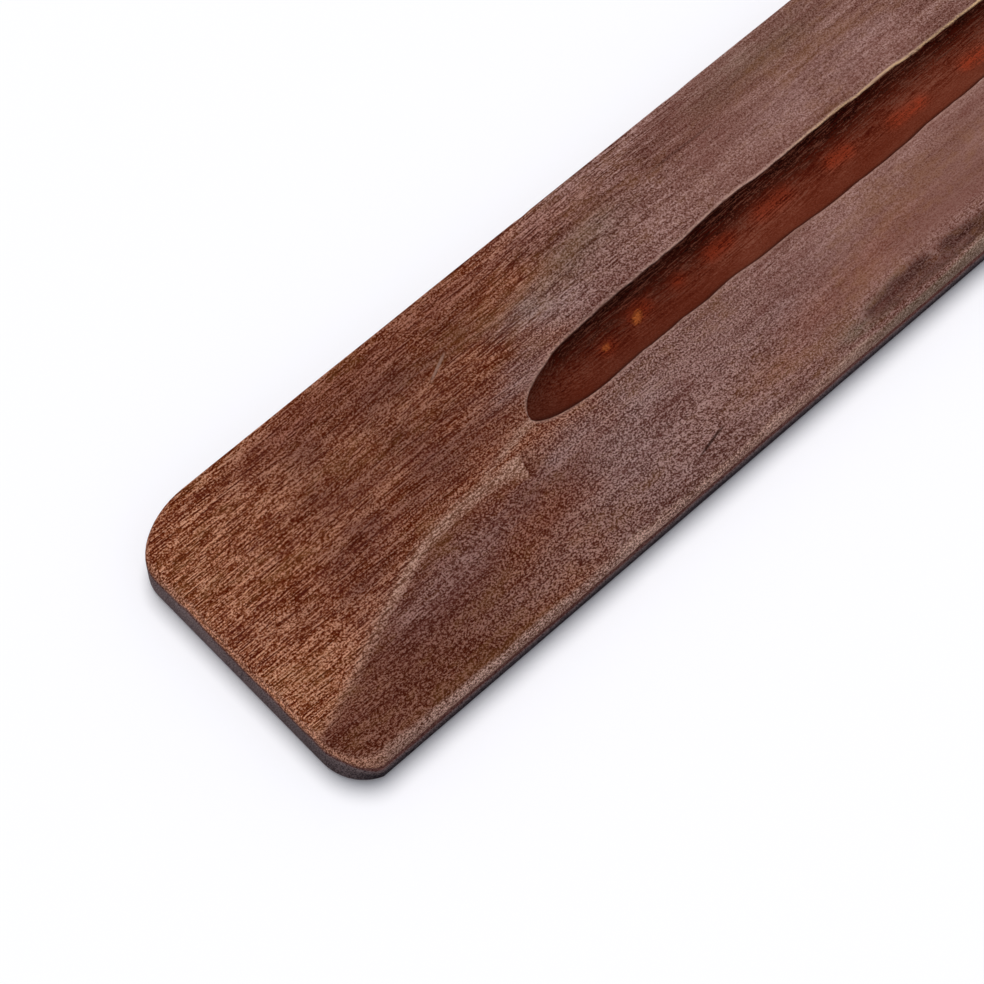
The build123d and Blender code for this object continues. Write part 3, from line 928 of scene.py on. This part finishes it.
pegs = {
    "radius": (pegsHigh.x - pegsLow.x) / 2,
    "places": [(pegsLow.x + pegsHigh.x) / 2, pegsHigh.y],     # along, and the outer side of the left one
    "bevel": 0.12 * mm,
    "facets": 9,              # whittled by hand
    "sides": 54,
    "clearance": 0.05 * mm,
}
hole = mounts["stick_hole"]
ferrule = {
    "bore": hole["dims"]["r_mm"] * mm,
    "wall": 0.6 * mm,
    "lip": 1.2 * mm,
    "lipThick": 0.7 * mm,
    "round": 0.3 * mm,
    "flare": 0.35 * mm,
    "ring": (0.1 * mm, 0.06 * mm),     # half width and depth of the ring turned into the lip
    "bevel": 0.15 * mm,
    "clearance": 0.05 * mm,
    "sides": 72,
}
drillSides = 48
sharpWood, sharpTurned = math.radians(40), math.radians(30)     # edges steeper than this stay crisp


# points and faces round an axis, from radius and height pairs
def turned(profile, centre, axis, sides, facets=0):
    upright = Vector(axis).to_track_quat("Z", "Y")
    points, faces, rings = [], [], []
    for radius, height in profile:
        ring = []
        for k in range(sides if radius else 1):
            a = 2 * math.pi * k / sides
            flat = 1.0
            if facets:
                half = math.pi / facets
                flat = math.cos(half) / math.cos(a % (2 * half) - half)
            spot = Vector((radius * flat * math.cos(a), radius * flat * math.sin(a), height))
            ring.append(len(points))
            points.append(tuple(Vector(centre) + upright @ spot))
        rings.append(ring)
    if profile[0][0]:
        rings.append(rings[0])     # a profile that doesn't start on the axis closes on itself
    for one, two in zip(rings, rings[1:]):
        for k in range(sides):
            a, b = one[k % len(one)], one[(k + 1) % len(one)]
            c, d = two[(k + 1) % len(two)], two[k % len(two)]
            faces.append([v for i, v in enumerate((a, b, c, d)) if v not in (a, b, c, d)[:i]])
    return points, faces


def drill(piece, centre, axis, radius, length):     # a straight round hole
    profile = [(0, -length), (radius, -length), (radius, length), (0, length)]
    cutter = newObject("drill", meshFrom("drill", *turned(profile, centre, axis, drillSides)))
    tool = piece.modifiers.new("hole", "BOOLEAN")
    tool.operation = "DIFFERENCE"
    tool.solver = "EXACT"
    tool.object = cutter
    plainMesh(piece)
    bpy.data.objects.remove(cutter)


def flatPlace(points):     # back from the bent place to the straight plank, mm from the tail
    x, y, z = points.T
    past, lift = x - curlFootX, underRadius - z
    angle = np.clip(np.arctan2(past, lift), 0, nose["curlAngle"])
    beyond = past * np.cos(angle) - lift * np.sin(angle)      # left over after the turn
    height = underRadius - (past * np.sin(angle) + lift * np.cos(angle))
    curled = past > 0
    flatX = np.where(curled, curlFootX + neutralRadius * angle + np.maximum(beyond, 0), x)
    flatZ = np.where(curled, height, z)
    return np.stack([flatX - tailX, y, flatZ], -1) / mm


def finishWood(piece):
    mesh = piece.data
    points = np.empty(len(mesh.vertices) * 3, np.float32)
    mesh.vertices.foreach_get("co", points)
    flat = flatPlace(points.reshape(-1, 3).astype(float))
    straight = mesh.attributes.new("flat", "FLOAT_VECTOR", "POINT")
    straight.data.foreach_set("vector", flat.astype(np.float32).ravel())
    mesh.shade_smooth()
    mesh.set_sharp_from_angle(angle=sharpWood)
    print(piece.name, len(mesh.polygons), "faces")


ashBoard = workWood("ashBoard", boardBlank(), ownWork["board"])
curledNose = workWood("curledNose", noseBlank(), ownWork["nose"])
pegX, pegOut = pegs["places"]
pegY = pegOut - pegs["radius"]
holeAxis = Vector(hole["axis"])
# depth of the mount's centre below the inner face
sunk = thick - flatPlace(np.array([hole["pos_m"]]))[0, 2] * mm
mouth = Vector(hole["pos_m"]) + holeAxis * sunk
for side in (1, -1):
    for piece in (ashBoard, curledNose):
        drill(piece, (pegX, side * pegY, 0), (0, 0, 1), pegs["radius"] + pegs["clearance"], 2 * thick)
tubeRadius = ferrule["bore"] + ferrule["wall"]
drill(curledNose, mouth, holeAxis, tubeRadius + ferrule["clearance"], 2 * thick)
for piece, node in ((ashBoard, "ash_board"), (curledNose, "curled_nose")):
    finishWood(piece)
    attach(piece, "root")
    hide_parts(node)
print("wood worked")


# Pegs

bamboo = {
    "bundle": 0.34,     # mm between fibre bundles
    "pith": [(0.2, "#6f4a31"), (0.5, "#8f6546"), (0.8, "#ad835f")],
    "fibre": "#3a2214",
}


def sawnBamboo():
    # bamboo peg sawn flush and stained over: its end shows dark fibre bundles in paler pith
    material, add = newMaterial("sawn bamboo, stained over")
    place = add("TexCoord").outputs["Object"]
    cell = bamboo["bundle"] * mm
    spots = add("Mapping", {"Vector": place, "Scale": (1 / cell, 1 / cell, 0.04 / cell)})
    bundles = add("TexVoronoi", {"Vector": spots, "Scale": 1.0, "Randomness": 0.8})
    cloud = add("TexNoise", {"Vector": spots, "Scale": 0.4, "Detail": 3.0})
    pith = add("ValToRGB", (cloud,), stops=bamboo["pith"])
    dot = add("MapRange", (bundles.outputs["Distance"], 0.38, 0.22, 0.0, 0.85))
    colour = add("Mix", {0: dot, 6: pith, 7: bamboo["fibre"]}, data_type="RGBA").outputs[2]
    bump = add("Bump", {"Strength": 0.6, "Distance": 0.05 * mm, "Height": dot})
    rough = add("MapRange", (cloud, 0.3, 0.7, 0.85, 0.65))
    shader = add("BsdfPrincipled", {"Base Color": colour, "Roughness": rough, "IOR": 1.45,
                                    "Specular IOR Level": 0.15, "Normal": bump})
    add("OutputMaterial", (shader,))
    return material


def pegPair():
    r, b = pegs["radius"], pegs["bevel"]
    profile = [(0, 0), (0.5 * r, 0), (r - b, 0), (r, b), (r, thick / 2), (r, thick - b), (r - b, thick),
               (0.5 * r, thick), (0, thick)]
    points, faces = [], []
    for side in (1, -1):
        centre = (pegX, side * pegY, 0)
        onePoints, oneFaces = turned(profile, centre, (0, 0, 1), pegs["sides"], pegs["facets"])
        faces += [[v + len(points) for v in face] for face in oneFaces]
        points += onePoints
    return meshFrom("scarfDowels", points, faces)


scarfDowels = newObject("scarfDowels", pegPair())
scarfDowels.data.materials.append(sawnBamboo())


# Ferrule

brass = {
    "metal": [(0.25, "#8a6632"), (0.5, "#b08a4a"), (0.8, "#c9a866")],
    "tarnish": "#4f3519",
    "feed": 0.16,     # mm between the turning marks, coarser than real ones so that they show
}


def turnedBrass():
    # brass tube turned on a lathe and handled since: fine rings, brown tarnish in clouds
    material, add = newMaterial("turned brass, tarnished")
    place = add("TexCoord").outputs["Object"]
    upright = holeAxis.to_track_quat("Z", "Y").to_euler()
    spun = add("Mapping", {"Vector": place, "Location": mouth, "Rotation": upright,
                           "Scale": (mm, mm, mm)}, vector_type="TEXTURE")
    x, y, z = add("SeparateXYZ", (spun,)).outputs
    flat = add("CombineXYZ", (x, y))
    radius = add("VectorMath.LENGTH", (flat,)).outputs["Value"]
    ring = add("Math.ADD", (radius, z))
    phase = add("Math.MULTIPLY", (ring, 2 * math.pi / brass["feed"]))
    toolRings = add("Math.SINE", (phase,))
    cloud = add("TexNoise", {"Vector": spun, "Scale": 0.9, "Detail": 4.0})
    tone = add("Math.MULTIPLY_ADD", (toolRings, 0.05, cloud))
    metal = add("ValToRGB", (tone,), stops=brass["metal"])
    corner = add("MapRange", (z, 0.35, 0.0, 0.0, 0.6))
    patch = add("MapRange", (cloud, 0.5, 0.35, corner, 0.8))
    colour = add("Mix", {0: patch, 6: metal, 7: brass["tarnish"]}, data_type="RGBA").outputs[2]
    rough = add("MapRange", (tone, 0.3, 0.7, 0.55, 0.32))
    bump = add("Bump", {"Strength": 0.4, "Distance": 0.02 * mm, "Height": toolRings})
    shader = add("BsdfPrincipled", {"Base Color": colour, "Metallic": 1.0, "Roughness": rough,
                                    "Normal": bump})
    add("OutputMaterial", (shader,))
    return material


def ferruleMesh():
    bore, top, soft, flare = ferrule["bore"], ferrule["lipThick"], ferrule["round"], ferrule["flare"]
    ringHalf, ringDepth = ferrule["ring"]
    bevel, gap = ferrule["bevel"], ferrule["clearance"]
    edge = tubeRadius + ferrule["lip"]
    profile = [(bore + bevel, -thick), (bore, bevel - thick), (bore, -thick / 2), (bore, top - flare)]
    for a in np.radians((25, 60, 90)):      # flared mouth
        profile.append((bore + flare * (1 - math.cos(a)), top - flare * (1 - math.sin(a))))
    middle = (bore + edge) / 2
    profile += [(middle - ringHalf, top), (middle, top - ringDepth), (middle + ringHalf, top)]
    for a in np.radians((0, 22, 45, 68, 90)):
        profile.append((edge - soft + soft * math.sin(a), top - soft + soft * math.cos(a)))
    profile += [(edge, 0.1 * mm), (edge - 0.06 * mm, 0.0), (tubeRadius + gap, 0.0), (tubeRadius, -gap),
                (tubeRadius, -thick / 2), (tubeRadius, 0.2 * mm - thick), (tubeRadius - bevel, -thick)]
    return meshFrom("stickFerrule", *turned(profile, mouth, holeAxis, ferrule["sides"]))


stickFerrule = newObject("stickFerrule", ferruleMesh())
stickFerrule.data.materials.append(turnedBrass())
for piece, node, slot in ((scarfDowels, "scarf_dowels", "peg_wood"),
                          (stickFerrule, "stick_ferrule", "brass")):
    piece.data.shade_smooth()
    piece.data.set_sharp_from_angle(angle=sharpTurned)
    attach(piece, "root")
    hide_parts(node)
print("pegs and ferrule set")


# Floor and light

light = {
    "dome": 0.4,
    "domeColour": "#eef2ff",
    "keyShare": 0.69,
    "keyFrom": (0.17, 0.28, 1.0),
    "keySpread": math.radians(37),     # as wide as a big lamp cloth
    "keyColour": "#fefcfd",
    "paper": (0.97, 0.97, 0.97, 1.0),
    "glare": 0.04,       # how far the paper is washed out to white for the camera
    "white": (1.0, 1.0, 1.0, 1.0),
    "floorReach": 1.5,
    "floorZ": -0.02 * mm,
}


def lookedAt(add):     # 1 for what the camera sees, also in a reflection or through glass
    path = add("LightPath").outputs
    seen = add("Math.MAXIMUM", (path["Is Camera Ray"], path["Is Glossy Ray"]))
    return add("Math.MAXIMUM", (seen, path["Is Transmission Ray"]))


def whitePaper():
    # matt white paper: an even white that only shadows grey
    material, add = newMaterial("matt white paper")
    matt = add("BsdfDiffuse", {"Color": light["paper"]})
    white = add("Emission", {"Color": light["white"], "Strength": 1.0})
    glare = add("Math.MULTIPLY", (lookedAt(add), light["glare"]))
    shader = add("MixShader", (glare, matt, white))
    add("OutputMaterial", (shader,))
    return material


reach, floorZ = light["floorReach"], light["floorZ"]
corners = [(-reach, -reach, floorZ), (reach, -reach, floorZ), (reach, reach, floorZ), (-reach, reach, floorZ)]
paperFloor = newObject("paperFloor", meshFrom("paperFloor", corners, [(0, 1, 2, 3)]))
paperFloor.data.materials.append(whitePaper())

world = bpy.data.worlds.new("softDome")
world.use_nodes = True
world.node_tree.nodes.clear()
add = partial(addNode, world.node_tree)
lit = add("Background", (light["domeColour"], light["dome"]))
white = add("Background", (light["white"], 1.0))
either = add("MixShader", (lookedAt(add), lit, white))
add("OutputWorld", (either,))
scene.world = world

toward = Vector(light["keyFrom"]).normalized()
key = newObject("softKey", bpy.data.lights.new("softKey", "SUN"))
key.data.angle = light["keySpread"]
key.data.energy = light["keyShare"] * math.pi / toward.z
key.data.color = linear(light["keyColour"])[:3]
key.rotation_mode = "QUATERNION"
key.rotation_quaternion = toward.to_track_quat("Z", "Y")
scene.view_settings.view_transform = "Standard"
print("floor and light set")
